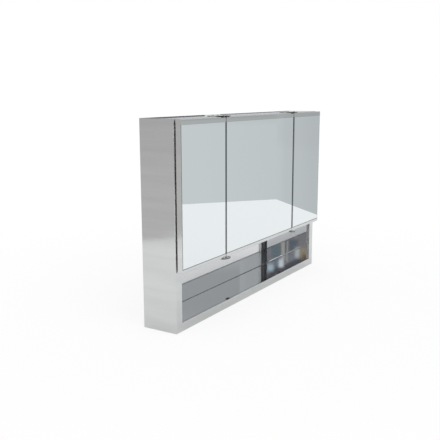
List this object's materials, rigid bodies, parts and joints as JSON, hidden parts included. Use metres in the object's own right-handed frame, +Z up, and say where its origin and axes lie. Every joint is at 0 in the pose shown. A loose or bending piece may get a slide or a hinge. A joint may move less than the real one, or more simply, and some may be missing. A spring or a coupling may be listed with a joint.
{
  "type": "first aid cabinet",
  "caption": "Wall cabinet of folded stainless steel with mirror doors on pivot hinges, glass shelves behind them and an open polished niche below.",
  "frame": {"origin": "middle of the cabinet's bounding box in plan, level with its underside", "axes": "+X along the width, to the right as seen from the front; the doors face -Y and the wall is at +Y; +Z up"},
  "size_m": [1, 0.16, 0.655],
  "materials": {
    "brushed_sheet": "fine brushed stainless sheet",
    "polished_sheet": "mirror-polished stainless sheet",
    "mirror_glass": "silvered float glass",
    "shelf_glass": "clear float glass, ground edges",
    "door_board": "plain fibre board",
    "clear_pad": "clear soft dots",
    "nylon": "natural nylon",
    "catch_plastic": "white moulded plastic",
    "magnet": "sintered ferrite",
    "rubber": "black rubber",
    "zinc_plated_steel": "zinc plated",
    "hinge_steel": "tumbled stainless plate"
  },
  "bodies": {
    "cabinet": {"left_side_panel": "brushed_sheet", "right_side_panel": "brushed_sheet", "top_panel": "brushed_sheet", "bottom_panel": "brushed_sheet", "back_panel": "brushed_sheet", "compartment_floor": "brushed_sheet", "niche_floor": "polished_sheet", "niche_back": "polished_sheet", "niche_left_cheek": "polished_sheet", "niche_right_cheek": "polished_sheet", "left_partition": "brushed_sheet", "right_partition": "brushed_sheet", "wall_plates": "zinc_plated_steel", "shelf_rests": "brushed_sheet", "shelf_pads": "clear_pad", "hinge_bushes": "nylon", "hinge_plate_screws": "zinc_plated_steel", "catch_housings": "catch_plastic", "catch_magnets": "magnet", "catch_screws": "zinc_plated_steel", "door_buffers": "rubber", "left_lower_shelf": "shelf_glass", "left_upper_shelf": "shelf_glass", "centre_lower_shelf": "shelf_glass", "centre_upper_shelf": "shelf_glass", "right_lower_shelf": "shelf_glass", "right_upper_shelf": "shelf_glass", "top_double_hinge_plate": "hinge_steel", "bottom_double_hinge_plate": "hinge_steel", "top_single_hinge_plate": "hinge_steel", "bottom_single_hinge_plate": "hinge_steel"},
    "left_door": {"left_door_pan": "brushed_sheet", "left_door_cap_rail": "brushed_sheet", "left_door_mirror": "mirror_glass", "left_door_board": "door_board", "left_door_end_blocks": "zinc_plated_steel", "left_door_pivot_screws": "zinc_plated_steel", "left_door_strike": "zinc_plated_steel"},
    "centre_door": {"centre_door_pan": "brushed_sheet", "centre_door_cap_rail": "brushed_sheet", "centre_door_mirror": "mirror_glass", "centre_door_board": "door_board", "centre_door_end_blocks": "zinc_plated_steel", "centre_door_pivot_screws": "zinc_plated_steel", "centre_door_strike": "zinc_plated_steel"},
    "right_door": {"right_door_pan": "brushed_sheet", "right_door_cap_rail": "brushed_sheet", "right_door_mirror": "mirror_glass", "right_door_board": "door_board", "right_door_end_blocks": "zinc_plated_steel", "right_door_pivot_screws": "zinc_plated_steel", "right_door_strike": "zinc_plated_steel"}
  },
  "joints": [
    {"name": "left_door_hinge", "type": "hinge", "parent": "cabinet", "child": "left_door", "pos_m": [-0.257, -0.0634, 0.192], "axis": [0, 0, 1], "range_deg": [0, 90]},
    {"name": "centre_door_hinge", "type": "hinge", "parent": "cabinet", "child": "centre_door", "pos_m": [-0.238, -0.0634, 0.192], "axis": [0, 0, -1], "range_deg": [0, 90]},
    {"name": "right_door_hinge", "type": "hinge", "parent": "cabinet", "child": "right_door", "pos_m": [0.257, -0.0634, 0.192], "axis": [0, 0, -1], "range_deg": [0, 90]}
  ]
}
